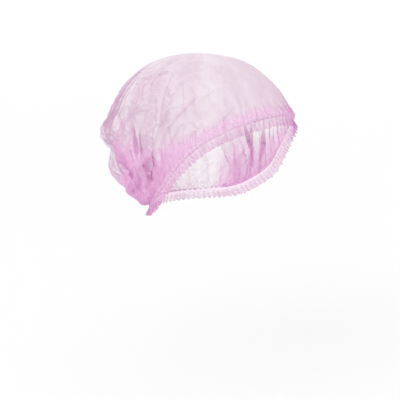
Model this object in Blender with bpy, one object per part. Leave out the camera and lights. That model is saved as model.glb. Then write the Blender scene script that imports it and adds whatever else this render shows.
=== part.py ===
"""Disposable hair cover cap.

One sheet of thin non-woven fabric, gathered all round on a loop of elastic. It
is close and smooth in front and on top, bags out behind, and ends below the
elastic in a short frill. The elastic lies inside the gathers.

The front faces -Y and +Z is up. The origin is the middle of the elastic loop.
Angles go round from the front over the -X side, in degrees.
"""

import math

import bpy
import numpy as np

# The level oval that the cap is stretched on when it is worn
OVAL_BREADTH = 0.154
OVAL_LENGTH = 0.197

# Heights, from the elastic in front: up to the top, and down to the elastic behind
CROWN_RISE = 0.047
BACK_DROP = 0.104

# How far the slack fabric stands out behind the oval
BAG_DEPTH = 0.029

# The sheet, its frill and its gathers
FABRIC_WALL = 0.001
FRILL_LENGTH = 0.0090
FRILL_FLARE = 0.38
FRILL_RUFFLE = 0.0013
GATHER_COUNT = 52
GATHER_DEPTH = 0.0018
GATHER_LENGTH = 0.017
GATHER_PUFF = 0.0016

# The gathers swell and shrink round the cap in slow waves, so that no two are alike
GATHER_SWELLS = (
    # waves round the cap, share of the depth, start of the wave in radians
    (7, 0.25, 1.0),
    (17, 0.15, 0.0),
)

# The casing is the flat strip of the sheet that lies over the elastic
CASING_WIDTH = 0.0040
ELASTIC_WIDTH = 0.0030
ELASTIC_WALL = 0.0008
ELASTIC_GAP = 0.0003

# Mesh: columns round the cap, thinned twice on the way to the top
COLUMNS_PER_GATHER = 4
COLUMNS = GATHER_COUNT * COLUMNS_PER_GATHER

# Steps that the curves are measured in
SECTION_STEPS = 160
RIM_STEPS = 1440
FOLD_STEPS = 24

# Line of the elastic: reach is a share of the oval, drop a share of BACK_DROP
RIM_TABLE = {
    "angle": (0, 15, 30, 45, 60, 75, 90, 105, 130, 180),
    "reach_share": (1.00, 1.00, 1.00, 1.00, 1.00, 0.980, 0.865, 0.775, 0.64, 0.54),
    "drop_share": (0.00, 0.03, 0.11, 0.245, 0.45, 0.71, 0.87, 0.955, 0.99, 1.00),
}

# Each upright section is one smooth curve from the elastic to the top. low and
# top are the reaches of its two handles as shares of the oval, lift is the rise
# of the low handle as a share of CROWN_RISE, bag is the share of BAG_DEPTH that
# both take, and lean turns the low handle back, in degrees.
SECTION_TABLE = {
    "angle": (0, 30, 45, 60, 75, 90, 105, 120, 150, 180),
    "low_share": (0.94, 0.96, 0.99, 1.05, 1.11, 1.12, 1.10, 1.06, 1.06, 1.12),
    "lift_share": (0.50, 0.56, 0.68, 0.72, 0.52, 0.16, 0.02, 0.02, -0.12, -0.30),
    "top_share": (0.56, 0.63, 0.75, 0.95, 1.17, 1.30, 1.31, 1.30, 1.23, 1.18),
    "bag_share": (0.00, 0.00, 0.00, 0.00, 0.00, 0.08, 0.16, 0.25, 0.68, 1.00),
    "lean": (0, 2, 5, 9, 10, 5, 0, 0, 0, 0),
}
BAG_TO_HANDLE = 4 / 3

# Folds: each runs along the sheet from one place to another. An angle goes round
# from the front, and a climb is a share of the way from the elastic to the top.
# Width and depth are shares of BAG_DEPTH, and a crease has a negative depth.
FOLD_COLUMNS = ("angle", "climb", "end_angle", "end_climb", "width_share", "depth_share")
FOLD_TABLE = (
    (78, 0.10, 96, 0.62, 0.17, -0.10),
    (86, 0.09, 120, 0.58, 0.21, -0.14),
    (93, 0.09, 132, 0.46, 0.24, 0.18),
    (100, 0.09, 146, 0.42, 0.21, -0.16),
    (74, 0.12, 66, 0.60, 0.17, -0.08),
    (108, 0.10, 152, 0.30, 0.28, 0.20),
    (118, 0.10, 160, 0.20, 0.21, -0.14),
    (120, 0.37, 186, 0.42, 0.38, 0.24),
    (124, 0.285, 176, 0.32, 0.28, -0.20),
    (150, 0.44, 158, 0.74, 0.28, -0.15),
    (136, 0.48, 142, 0.76, 0.24, -0.13),
    (168, 0.08, 172, 0.28, 0.24, -0.14),
    (184, 0.10, 194, 0.30, 0.28, 0.16),
    (178, 0.46, 176, 0.72, 0.28, 0.14),
    (198, 0.40, 204, 0.72, 0.28, -0.15),
    (206, 0.08, 214, 0.34, 0.24, -0.16),
    (196, 0.36, 238, 0.40, 0.38, 0.20),
    (228, 0.12, 216, 0.62, 0.24, -0.13),
    (248, 0.10, 222, 0.34, 0.24, 0.18),
    (258, 0.09, 234, 0.44, 0.21, -0.15),
    (266, 0.09, 244, 0.52, 0.24, 0.16),
    (274, 0.09, 256, 0.60, 0.21, -0.13),
    (286, 0.12, 298, 0.58, 0.17, -0.08),
)
FOLD_END = 0.08
FOLD_TAPER = 0.6

# Height of each ring of points: first up the gathers, then as shares of the rest
GATHER_RINGS = (0.18, 0.50, 1.00)
MIDDLE_RINGS = (0.04, 0.09, 0.15, 0.21, 0.27, 0.33, 0.40, 0.47, 0.55, 0.63)
TOP_RINGS = (0.72, 0.82, 0.92)
FRILL_RINGS = (1.00, 0.50)

FABRIC_COLOUR = (0.80, 0.42, 0.66, 1.0)
ELASTIC_COLOUR = (0.74, 0.36, 0.58, 1.0)


def smooth_column(table, column, angles):
    """Reads one column of a table at any angle, the same on both sides, with no kinks."""
    knots = np.array(table["angle"], float)
    values = np.array(table[column], float)
    slopes = np.gradient(values, knots)
    slopes[0] = 0
    slopes[-1] = 0
    folded = np.abs((np.asarray(angles, float) + 180) % 360 - 180)
    spot = np.clip(np.searchsorted(knots, folded, side="right") - 1, 0, len(knots) - 2)
    span = knots[spot + 1] - knots[spot]
    part = (folded - knots[spot]) / span
    rise = part * part * (3 - 2 * part)
    start = (part - 1) ** 2 * part * span * slopes[spot]
    end = (part - 1) * part**2 * span * slopes[spot + 1]
    return values[spot] + (values[spot + 1] - values[spot]) * rise + start + end


def worn_oval(angles):
    """Distance from the middle of the oval to its edge, at each angle."""
    turn = np.radians(angles)
    across = np.sin(turn) / (OVAL_BREADTH / 2)
    along = np.cos(turn) / (OVAL_LENGTH / 2)
    return 1 / np.hypot(across, along)


def place(angles, reach, height):
    """Points at these angles, distances out and heights."""
    turn = np.radians(angles)
    return np.stack([-reach * np.sin(turn), -reach * np.cos(turn), height + 0 * reach], -1)


def rim_points(angles):
    """Points on the line of the elastic."""
    reach = smooth_column(RIM_TABLE, "reach_share", angles) * worn_oval(angles)
    return place(angles, reach, -smooth_column(RIM_TABLE, "drop_share", angles) * BACK_DROP)


def column_angles(count):
    """Angles that space this many columns evenly along the elastic."""
    fine = np.linspace(0, 360, RIM_STEPS + 1)
    steps = np.linalg.norm(np.diff(rim_points(fine), axis=0), axis=1)
    run = np.concatenate([[0], np.cumsum(steps)])
    return np.interp(np.arange(count) / count * run[-1], run, fine)


def section(angles, shares):
    """Points up each section: an array of angles by shares of its length."""
    oval = worn_oval(angles)
    bag = smooth_column(SECTION_TABLE, "bag_share", angles) * BAG_DEPTH * BAG_TO_HANDLE
    start = rim_points(angles)
    low_turn = angles + np.where(angles < 180, 1, -1) * smooth_column(SECTION_TABLE, "lean", angles)
    low_height = start[:, 2] + smooth_column(SECTION_TABLE, "lift_share", angles) * CROWN_RISE
    low = place(low_turn, smooth_column(SECTION_TABLE, "low_share", angles) * oval + bag, low_height)
    top = place(angles, smooth_column(SECTION_TABLE, "top_share", angles) * oval + bag, CROWN_RISE)
    apex = place(angles, 0 * oval, CROWN_RISE)
    step = np.linspace(0, 1, SECTION_STEPS)[None, :, None]
    curve = (
        (1 - step) ** 3 * start[:, None]
        + 3 * (1 - step) ** 2 * step * low[:, None]
        + 3 * (1 - step) * step**2 * top[:, None]
        + step**3 * apex[:, None]
    )
    run = np.linalg.norm(np.diff(curve, axis=1), axis=2).cumsum(axis=1)
    run = np.concatenate([np.zeros((len(angles), 1)), run], axis=1)
    points = np.empty((len(angles), shares.shape[1], 3))
    for row in range(len(angles)):
        for axis in range(3):
            points[row, :, axis] = np.interp(shares[row] * run[row, -1], run[row], curve[row, :, axis])
    return points, run[:, -1]


def unit(vectors):
    """The same directions, one long."""
    return vectors / np.maximum(np.linalg.norm(vectors, axis=-1, keepdims=True), 1e-12)


def outward(angles):
    """Level direction out of the oval at each angle."""
    turn = np.radians(angles)
    across = -np.sin(turn) / (OVAL_BREADTH / 2) ** 2
    along = -np.cos(turn) / (OVAL_LENGTH / 2) ** 2
    return unit(np.stack([across, along, 0 * along], -1))


def below_rim(angles):
    """Direction down the sheet, square to the elastic, away from the crown."""
    rim = rim_points(angles)
    along = unit(np.roll(rim, -1, axis=0) - np.roll(rim, 1, axis=0))
    return unit(np.cross(outward(angles), along))


def fold_lift(points):
    """How far the folds move each point of the crown along its normal."""
    lift = np.zeros(points.shape[:2])
    path = np.linspace(0, 1, FOLD_STEPS + 1)
    taper = np.sin(math.pi * (FOLD_END + (1 - 2 * FOLD_END) * path)) ** FOLD_TAPER
    for row in FOLD_TABLE:
        fold = dict(zip(FOLD_COLUMNS, row))
        turns = fold["angle"] + (fold["end_angle"] - fold["angle"]) * path
        climbs = fold["climb"] + (fold["end_climb"] - fold["climb"]) * path
        line = section(turns, climbs[:, None])[0][:, 0]
        gaps = np.linalg.norm(points[:, :, None] - line, axis=3)
        spread = gaps.min(axis=2) / (fold["width_share"] * BAG_DEPTH)
        height = fold["depth_share"] * BAG_DEPTH * taper[gaps.argmin(axis=2)]
        lift += height * np.exp(-(spread**2))
    return lift


def gather_wave(count):
    """The rise and fall of the gathers round the cap, uneven as gathered cloth is."""
    turn = np.arange(count) / count * 2 * math.pi
    swell = np.ones(count)
    for waves, size, start in GATHER_SWELLS:
        swell += size * np.sin(waves * turn + start)
    return np.cos(GATHER_COUNT * turn) * swell


def crown_rings():
    """The outer face of the sheet, ring by ring from the frill's edge to the top."""
    angles = column_angles(COLUMNS)
    rim = rim_points(angles)
    down = below_rim(angles)
    out = outward(angles)
    wave = gather_wave(COLUMNS)[:, None]
    half_casing = CASING_WIDTH / 2

    rings = []
    for share in FRILL_RINGS:
        length = half_casing + (FRILL_LENGTH - half_casing) * share
        flare = FRILL_FLARE * (length - half_casing) + FRILL_RUFFLE * share * wave
        rings.append(rim + down * length + out * flare)
    rings.append(rim + down * half_casing)
    rings.append(rim - down * half_casing)

    whole = section(angles, np.ones((COLUMNS, 1)))[1]
    climb = [GATHER_LENGTH * share for share in GATHER_RINGS]
    shares = [(half_casing + length) / whole for length in climb]
    left = 1 - shares[-1]
    shares += [1 - left * (1 - share) for share in MIDDLE_RINGS + TOP_RINGS]
    shares = np.stack(shares, axis=1)
    points = section(angles, shares)[0]

    ahead = np.roll(points, -1, axis=0) - np.roll(points, 1, axis=0)
    up = np.gradient(points, axis=1)
    normals = unit(np.cross(up, ahead))
    lift = fold_lift(points)
    for ring, share in enumerate(GATHER_RINGS):
        fade = math.sin(math.pi * share**0.5)
        lift[:, ring] += fade * (GATHER_PUFF + GATHER_DEPTH * wave[:, 0])
    points += normals * lift[:, :, None]
    rings += [points[:, ring] for ring in range(points.shape[1])]
    return rings


def sheet_normals(rings, apex):
    """Normal of the sheet at each point of each ring, out of the cap."""
    grid = np.stack(rings + [np.repeat(apex[None], COLUMNS, axis=0)])
    ahead = np.roll(grid, -1, axis=1) - np.roll(grid, 1, axis=1)
    up = np.gradient(grid, axis=0)
    return unit(np.cross(up[:-1], ahead[:-1]))


def ring_bridge(low, high):
    """Faces between two rings of point numbers, the higher one as dense or half as dense."""
    faces = []
    if len(low) == len(high):
        for column in range(len(low)):
            after = (column + 1) % len(low)
            faces.append((low[column], high[column], high[after], low[after]))
        return faces
    for column in range(len(high)):
        after = (column + 1) % len(high)
        first, middle, last = low[2 * column], low[2 * column + 1], low[2 * after]
        faces.append((first, high[column], middle))
        faces.append((middle, high[column], high[after]))
        faces.append((middle, high[after], last))
    return faces


def thin_columns(ring):
    """Every how many columns a ring keeps a point."""
    dense = len(FRILL_RINGS) + 2 + len(GATHER_RINGS)
    if ring < dense:
        return 1
    return 2 if ring < dense + len(MIDDLE_RINGS) else 4


def make_object(name, points, faces, colour, roughness):
    """A closed mesh with its own material."""
    mesh = bpy.data.meshes.new(name)
    mesh.from_pydata([tuple(point) for point in points], [], faces)
    mesh.shade_smooth()
    mesh.validate()
    material = bpy.data.materials.new(name)
    material.use_nodes = True
    shader = material.node_tree.nodes["Principled BSDF"]
    shader.inputs["Base Color"].default_value = colour
    shader.inputs["Roughness"].default_value = roughness
    shader.inputs["Metallic"].default_value = 0.0
    mesh.materials.append(material)
    piece = bpy.data.objects.new(name, mesh)
    bpy.context.scene.collection.objects.link(piece)
    return piece


def loop_middle():
    """Halfway from the elastic in front to the elastic behind."""
    return rim_points(np.array([0.0, 180.0])).mean(axis=0)


def make_crown():
    """The gathered sheet: its outer face, its inner face and the edge that joins them."""
    rings = crown_rings()
    apex = np.array([0.0, 0.0, CROWN_RISE])
    normals = sheet_normals(rings, apex)
    points = []
    faces = []
    edges = []
    for inner in (False, True):
        numbers = []
        for ring, line in enumerate(rings):
            step = thin_columns(ring)
            kept = line[::step] - (normals[ring, ::step] * FABRIC_WALL if inner else 0)
            numbers.append(list(range(len(points), len(points) + len(kept))))
            points.extend(kept)
        top = len(points)
        points.append(apex - (np.array([0, 0, FABRIC_WALL]) if inner else 0))
        walls = []
        for low, high in zip(numbers, numbers[1:]):
            walls += ring_bridge(low, high)
        last = numbers[-1]
        for column in range(len(last)):
            walls.append((last[column], top, last[(column + 1) % len(last)]))
        faces += [face[::-1] for face in walls] if inner else walls
        edges.append(numbers[0])
    outer_edge, inner_edge = edges
    for column in range(COLUMNS):
        after = (column + 1) % COLUMNS
        faces.append((inner_edge[column], outer_edge[column], outer_edge[after], inner_edge[after]))
    return make_object("crown", np.array(points) - loop_middle(), faces, FABRIC_COLOUR, 0.75)


def make_elastic():
    """The loop of elastic, flat against the inside of the casing."""
    count = COLUMNS // 2
    angles = column_angles(count)
    rim = rim_points(angles)
    down = below_rim(angles)
    along = unit(np.roll(rim, -1, axis=0) - np.roll(rim, 1, axis=0))
    inward = unit(np.cross(down, along))
    near = FABRIC_WALL + ELASTIC_GAP
    far = near + ELASTIC_WALL
    corners = ((1, near), (-1, near), (-1, far), (1, far))
    points = []
    for side, depth in corners:
        points.extend(rim + down * side * ELASTIC_WIDTH / 2 + inward * depth)
    faces = []
    for corner in range(len(corners)):
        low = corner * count
        high = (corner + 1) % len(corners) * count
        for column in range(count):
            after = (column + 1) % count
            faces.append((low + column, high + column, high + after, low + after))
    return make_object("elastic_band", np.array(points) - loop_middle(), faces, ELASTIC_COLOUR, 0.6)


def main():
    for old in list(bpy.data.objects):
        bpy.data.objects.remove(old)
    make_crown()
    make_elastic()


main()
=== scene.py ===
"""Disposable hair cover cap: a sheer gathered sheet on a loop of elastic, in a pale studio.

Lengths are in metres. The front of the cap faces -Y, +Z is up, and the origin is the
middle of the elastic loop. Angles are in degrees, from the front round over -X.
"""

import math

import bpy
import numpy as np
from bpy.props import FloatProperty, FloatVectorProperty, IntProperty, PointerProperty
from mathutils import Matrix, Vector


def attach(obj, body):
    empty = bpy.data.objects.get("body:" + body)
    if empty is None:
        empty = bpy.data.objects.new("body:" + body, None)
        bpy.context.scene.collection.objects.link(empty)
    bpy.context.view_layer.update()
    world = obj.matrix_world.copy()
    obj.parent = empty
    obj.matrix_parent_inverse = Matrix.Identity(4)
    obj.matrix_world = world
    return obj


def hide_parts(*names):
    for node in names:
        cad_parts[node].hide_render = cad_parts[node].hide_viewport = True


bl_info = {
    "name": "Hair Cover Cap",
    "version": (1, 0, 0),
    "blender": (4, 5, 0),
    "location": "3D View > Sidebar > Hair Cover",
    "description": "Makes a sheer gathered hair cover cap, its elastic and a pale studio",
    "category": "Add Mesh",
}

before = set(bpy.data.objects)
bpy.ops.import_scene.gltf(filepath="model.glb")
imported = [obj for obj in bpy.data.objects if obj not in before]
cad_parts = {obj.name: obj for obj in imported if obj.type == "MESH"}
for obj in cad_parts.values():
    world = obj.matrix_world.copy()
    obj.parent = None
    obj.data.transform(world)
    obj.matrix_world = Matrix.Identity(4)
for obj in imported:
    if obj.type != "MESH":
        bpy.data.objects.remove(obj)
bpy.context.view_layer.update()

# The level oval that the cap is stretched on, and heights from the elastic in front
OVAL_BREADTH = 0.154
OVAL_LENGTH = 0.197
CROWN_RISE = 0.047
BACK_DROP = 0.104
BAG_DEPTH = 0.029
CASING_WIDTH = 0.0040

# Line of the elastic: reach is a share of the oval, drop a share of BACK_DROP
RIM_TABLE = {
    "angle": (0, 15, 30, 45, 60, 75, 90, 105, 130, 180),
    "reach": (1.00, 1.00, 1.00, 1.00, 1.00, 0.980, 0.865, 0.775, 0.64, 0.54),
    "drop": (0.00, 0.03, 0.11, 0.245, 0.45, 0.71, 0.87, 0.955, 0.99, 1.00),
}

# Each upright section is one smooth curve from the elastic to the top: low and top
# are the reaches of its handles as shares of the oval, lift the rise of the low one
# as a share of CROWN_RISE, bag a share of BAG_DEPTH, and lean is in degrees.
SECTION_TABLE = {
    "angle": (0, 30, 45, 60, 75, 90, 105, 120, 150, 180),
    "low": (0.94, 0.96, 0.99, 1.05, 1.11, 1.12, 1.10, 1.06, 1.06, 1.12),
    "lift": (0.50, 0.56, 0.68, 0.72, 0.52, 0.16, 0.02, 0.02, -0.12, -0.30),
    "top": (0.56, 0.63, 0.75, 0.95, 1.17, 1.30, 1.31, 1.30, 1.23, 1.18),
    "bag": (0.00, 0.00, 0.00, 0.00, 0.00, 0.08, 0.16, 0.25, 0.68, 1.00),
    "lean": (0, 2, 5, 9, 10, 5, 0, 0, 0, 0),
}
BAG_TO_HANDLE = 4 / 3
SECTION_STEPS = 200
RIM_STEPS = 1440

# How far the bunched cloth climbs from the elastic, how densely it is bunched, how
# much longer the cloth is than its form round the cap and up it, how firmly it
# keeps to its form while it settles, and how much cover its doubled layers add.
SLACK_TABLE = {
    "angle": (0, 30, 45, 55, 68, 88, 116, 129, 152, 180),
    "climb": (0.013, 0.013, 0.014, 0.021, 0.034, 0.056, 0.080, 0.060, 0.030, 0.022),
    "bunch": (0.40, 0.42, 0.44, 0.54, 0.74, 0.92, 0.74, 0.10, 0.06, 0.08),
    "round": (0.000, 0.000, 0.002, 0.006, 0.014, 0.035, 0.065, 0.080, 0.085, 0.085),
    "up": (0.000, 0.000, 0.001, 0.003, 0.008, 0.020, 0.045, 0.060, 0.065, 0.065),
    "hold": (0.060, 0.055, 0.045, 0.032, 0.020, 0.013, 0.007, 0.005, 0.004, 0.004),
    "doubled": (0.00, 0.00, 0.00, 0.00, 0.00, 0.12, 0.30, 0.05, 0.10, 0.35),
}

# Main folds: each runs along the sheet from one place to another. An angle goes
# round from the front, and a climb is a share of the way from the elastic to the
# top. Width and depth are shares of BAG_DEPTH, and a crease has a negative depth.
FOLD_TABLE = (
    (78, 0.10, 96, 0.62, 0.17, -0.10),
    (86, 0.09, 120, 0.58, 0.21, -0.14),
    (93, 0.09, 132, 0.46, 0.24, 0.18),
    (100, 0.09, 146, 0.42, 0.21, -0.16),
    (74, 0.12, 66, 0.60, 0.17, -0.08),
    (108, 0.10, 152, 0.30, 0.28, 0.20),
    (118, 0.10, 160, 0.20, 0.21, -0.14),
    (120, 0.37, 186, 0.42, 0.38, 0.24),
    (124, 0.285, 176, 0.32, 0.28, -0.20),
    (150, 0.44, 158, 0.74, 0.28, -0.15),
    (136, 0.48, 142, 0.76, 0.24, -0.13),
    (168, 0.08, 172, 0.28, 0.24, -0.14),
    (184, 0.10, 194, 0.30, 0.28, 0.16),
    (178, 0.46, 176, 0.72, 0.28, 0.14),
    (198, 0.40, 204, 0.72, 0.28, -0.15),
    (206, 0.08, 214, 0.34, 0.24, -0.16),
    (196, 0.36, 238, 0.40, 0.38, 0.20),
    (228, 0.12, 216, 0.62, 0.24, -0.13),
    (248, 0.10, 222, 0.34, 0.24, 0.18),
    (258, 0.09, 234, 0.44, 0.21, -0.15),
    (266, 0.09, 244, 0.52, 0.24, 0.16),
    (274, 0.09, 256, 0.60, 0.21, -0.13),
    (286, 0.12, 298, 0.58, 0.17, -0.08),
)

# Fine creases: each is a narrow sharp line through the places given, as angles and
# climbs. The first two numbers are its width and its height, negative for a groove.
CREASE_TABLE = (
    (0.0016, -0.0014, ((78, 0.13), (73, 0.28), (70.5, 0.38), (74, 0.52), (77, 0.63))),
    (0.0016, -0.0012, ((70, 0.24), (63, 0.29), (55, 0.33), (47, 0.38))),
    (0.0014, -0.0011, ((51, 0.10), (46, 0.12), (42, 0.14))),
    (0.0014, -0.0010, ((31, 0.10), (27, 0.13), (23, 0.17))),
    (0.0018, -0.0016, ((85, 0.18), (81, 0.11), (78, 0.06))),
    (0.0016, -0.0014, ((90, 0.17), (86, 0.10), (82, 0.05))),
    (0.0016, -0.0012, ((74, 0.14), (72, 0.08), (71, 0.04))),
    (0.0016, -0.0012, ((84, 0.22), (88, 0.34), (94, 0.46))),
    (0.0015, -0.0010, ((62, 0.16), (57, 0.22), (53, 0.24))),
)

# Sheer patches, where the slack cloth lies single: from one place to another, with
# the width in metres and how much of the bunching is gone there.
SHEER_TABLE = (
    (140, 0.44, 152, 0.70, 0.008, 0.75),
    (122, 0.50, 132, 0.70, 0.006, 0.55),
    (152, 0.38, 140, 0.38, 0.008, 0.85),
    (150, 0.31, 158, 0.26, 0.008, 0.75),
    (158, 0.25, 144, 0.14, 0.009, 0.85),
    (160, 0.46, 166, 0.70, 0.008, 0.60),
    (205, 0.44, 198, 0.68, 0.009, 0.60),
    (214, 0.30, 224, 0.36, 0.009, 0.70),
    (232, 0.46, 222, 0.66, 0.007, 0.50),
    (81, 0.26, 77, 0.21, 0.004, 0.60),
    (74, 0.19, 70, 0.15, 0.003, 0.60),
    (86, 0.21, 84, 0.17, 0.003, 0.50),
)

# Rows of points of the sheet: dense by the elastic, thinned twice on the way up
FRILL_ROWS = 7
GATHER_ROWS = 12
MIDDLE_ROWS = 64
TOP_ROWS = 18
GATHER_TOP = 0.014
MIDDLE_TOP = 0.66
COLUMNS_PER_GATHER = 8

# How a settling thread is joined: columns and rows to its other end, and its pull.
# Bends reach over the points between, and pull by the stiffness of the cloth.
THREADS = ((1, 0, 1.0), (0, 1, 1.0), (1, 1, 0.4), (1, -1, 0.4))
BENDS = ((2, 0), (0, 2), (4, 0))

# What a point keeps of its last step, and the share of a thread's error each end takes
MOMENTUM = 0.86
PULL_SHARE = 0.25

# Both stages of settling: every how many columns and rows, rounds, size of the first
# unevenness, share of the slack, and stiffness.
SETTLE_STAGES = ((8, 3, 260, 0.0020, 0.7, 0.10), (2, 1, 200, 0.0008, 1.3, 0.05))

# Slack that bunched cloth has besides, and how far the settled folds are set inwards
BUNCH_SLACK = 0.035
SINK = 0.0015

# Lengths up the sheet over which the gathers rise from the elastic and fade out, over
# which their pleats show in the colour, with valleys denser from more cloth and from
# painted shade, and half the width of the band on the elastic
GATHER_RISE = 0.0018
GATHER_FADE = 0.016
PLEAT_FADE = 0.012
BAND_REACH = 0.0022

# How much calmer the folds of the left side are
LEFT_CALM = 0.40

# Range of the random phases, about one full turn in radians
PHASES = 6.28

# Least share of the straight-on thickness that a slanting ray is reckoned by
LEAST_FACING = 0.58
SHARP_ANGLE = math.radians(40)

# Fibres of the web: their directions in degrees, and how they are drawn out
FIBRE_ANGLES = (12, 68, 124, 165)
FIBRE_STRETCH = (1.0, 0.07, 1.0)

# Cell width, cell length and line width of the dark crinkles and of the light ones
CRINKLE_NETS = ((0.011, 0.026, 0.045), (0.0055, 0.012, 0.07))

NODE_GAP = 180
NODES_IN_ROW = 8

# The tape of the elastic, and the air between it and the cloth
TAPE_WIDTH = 0.0022
TAPE_WALL = 0.0005
RIB_PITCH = 0.0011
RIB_RADIUS = 0.0003
TAPE_GAP = 0.0003
LOOP_POINTS = 520
TRANSPARENT_BOUNCES = 32


def smooth_column(table, column, angles):
    """Reads one column of a table at any angle, the same on both sides, with no kinks."""
    knots = np.array(table["angle"], float)
    values = np.array(table[column], float)
    slopes = np.gradient(values, knots)
    slopes[0] = 0
    slopes[-1] = 0
    folded = np.abs((np.asarray(angles, float) + 180) % 360 - 180)
    spot = np.clip(np.searchsorted(knots, folded, side="right") - 1, 0, len(knots) - 2)
    span = knots[spot + 1] - knots[spot]
    part = (folded - knots[spot]) / span
    rise = part * part * (3 - 2 * part)
    start = (part - 1) ** 2 * part * span * slopes[spot]
    end = (part - 1) * part**2 * span * slopes[spot + 1]
    return values[spot] + (values[spot + 1] - values[spot]) * rise + start + end


def smooth_step(value, low, high):
    """0 below low, 1 above high, and smooth between."""
    part = np.clip((value - low) / (high - low), 0, 1)
    return part * part * (3 - 2 * part)


def unit(vectors):
    """The same directions, one long."""
    return vectors / np.maximum(np.linalg.norm(vectors, axis=-1, keepdims=True), 1e-12)


def oval_reach(angles):
    """Distance from the middle of the oval to its edge, at each angle."""
    turn = np.radians(angles)
    across = np.sin(turn) / (OVAL_BREADTH / 2)
    along = np.cos(turn) / (OVAL_LENGTH / 2)
    return 1 / np.hypot(across, along)


def place(angles, reach, height):
    """Points at these angles, distances out and heights."""
    turn = np.radians(angles)
    return np.stack([-reach * np.sin(turn), -reach * np.cos(turn), height + 0 * reach], -1)


def rim_points(angles):
    """Points on the line of the elastic, measured from its front."""
    reach = smooth_column(RIM_TABLE, "reach", angles) * oval_reach(angles)
    return place(angles, reach, -smooth_column(RIM_TABLE, "drop", angles) * BACK_DROP)


def loop_middle():
    """Halfway from the elastic in front to the elastic behind."""
    return rim_points(np.array([0.0, 180.0])).mean(axis=0)


def column_angles(count):
    """Angles that space this many columns evenly along the elastic."""
    fine = np.linspace(0, 360, RIM_STEPS + 1)
    steps = np.linalg.norm(np.diff(rim_points(fine), axis=0), axis=1)
    run = np.concatenate([[0], np.cumsum(steps)])
    return np.interp(np.arange(count) / count * run[-1], run, fine)


def outward(angles):
    """Level direction out of the oval at each angle."""
    turn = np.radians(angles)
    across = -np.sin(turn) / (OVAL_BREADTH / 2) ** 2
    along = -np.cos(turn) / (OVAL_LENGTH / 2) ** 2
    return unit(np.stack([across, along, 0 * along], -1))


def below_rim(angles):
    """Direction down the sheet, square to the elastic, away from the crown."""
    ahead = rim_points(angles + 0.1) - rim_points(angles - 0.1)
    return unit(np.cross(outward(angles), unit(ahead)))


def section_curves(angles):
    """The smooth curve up each section, and the length run along it."""
    oval = oval_reach(angles)
    bag = smooth_column(SECTION_TABLE, "bag", angles) * BAG_DEPTH * BAG_TO_HANDLE
    start = rim_points(angles)
    side = np.where(angles < 180, 1, -1)
    low_turn = angles + side * smooth_column(SECTION_TABLE, "lean", angles)
    low_height = start[:, 2] + smooth_column(SECTION_TABLE, "lift", angles) * CROWN_RISE
    low = place(low_turn, smooth_column(SECTION_TABLE, "low", angles) * oval + bag, low_height)
    top = place(angles, smooth_column(SECTION_TABLE, "top", angles) * oval + bag, CROWN_RISE)
    apex = place(angles, 0 * oval, CROWN_RISE)
    step = np.linspace(0, 1, SECTION_STEPS)[None, :, None]
    curve = (
        (1 - step) ** 3 * start[:, None]
        + 3 * (1 - step) ** 2 * step * low[:, None]
        + 3 * (1 - step) * step**2 * top[:, None]
        + step**3 * apex[:, None]
    )
    run = np.linalg.norm(np.diff(curve, axis=1), axis=2).cumsum(axis=1)
    return curve, np.concatenate([np.zeros((len(angles), 1)), run], axis=1)


def spread(grid, columns, rows):
    """A coarse closed grid of vectors, drawn out evenly to more columns and rows."""
    old_columns, old_rows = grid.shape[:2]
    spot = np.arange(columns) * old_columns / columns
    low = spot.astype(int)
    part = (spot - low)[:, None, None]
    wide = grid[low] * (1 - part) + grid[(low + 1) % old_columns] * part
    spot = np.linspace(0, old_rows - 1, rows)
    low = np.minimum(spot.astype(int), old_rows - 2)
    part = (spot - low)[None, :, None]
    return wide[:, low] * (1 - part) + wide[:, low + 1] * part


def blur(values, columns, rows):
    """Mean of the values around each point of a grid that is closed round the cap."""
    around = np.concatenate([values[-columns:], values, values[:columns]], axis=0)
    total = np.cumsum(np.pad(around, ((1, 0), (0, 0))), axis=0)
    wide = (total[2 * columns + 1 :] - total[: -2 * columns - 1]) / (2 * columns + 1)
    total = np.cumsum(np.pad(wide, ((0, 0), (rows + 1, rows)), mode="edge"), axis=1)
    return (total[:, 2 * rows + 1 :] - total[:, : -2 * rows - 1]) / (2 * rows + 1)


def gaps(grid, columns, rows):
    """From each point to the one this many columns and rows on."""
    ahead = np.roll(grid, -columns, axis=0)
    if rows >= 0:
        return ahead[:, rows:] - grid[:, : grid.shape[1] - rows]
    return ahead[:, :rows] - grid[:, -rows:]


def settle(form, points, slack_round, slack_up, hold, rounds, stiffness):
    """Lets cloth larger than its form buckle into folds.

    The threads of the grid, its diagonals and its bends pull towards their own
    lengths in turn, while every point is drawn back to the form by its hold.
    """
    links = []
    for columns, rows, pull in THREADS + tuple((*bend, stiffness) for bend in BENDS):
        length = np.linalg.norm(gaps(form, columns, rows), axis=2)
        kept = length.shape[1]
        slack = slack_round[:, :kept] * columns + slack_up[:, :kept] * abs(rows)
        links.append((columns, rows, pull, length * (1 + slack / (columns + abs(rows)))))
    before = points
    for _ in range(rounds):
        moved = points + MOMENTUM * (points - before)
        before = points
        for columns, rows, pull, rest in links:
            gap = gaps(moved, columns, rows)
            length = np.maximum(np.linalg.norm(gap, axis=2), 1e-9)
            shift = gap * (PULL_SHARE * pull * (length - rest) / length)[:, :, None]
            push = np.zeros_like(moved)
            back = np.zeros_like(moved)
            if rows >= 0:
                push[:, : moved.shape[1] - rows] = shift
                back[:, rows:] = shift
            else:
                push[:, -rows:] = shift
                back[:, :rows] = shift
            moved = moved + push - np.roll(back, columns, axis=0)
        points = moved + (form - moved) * hold[:, :, None]
    return points


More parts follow.
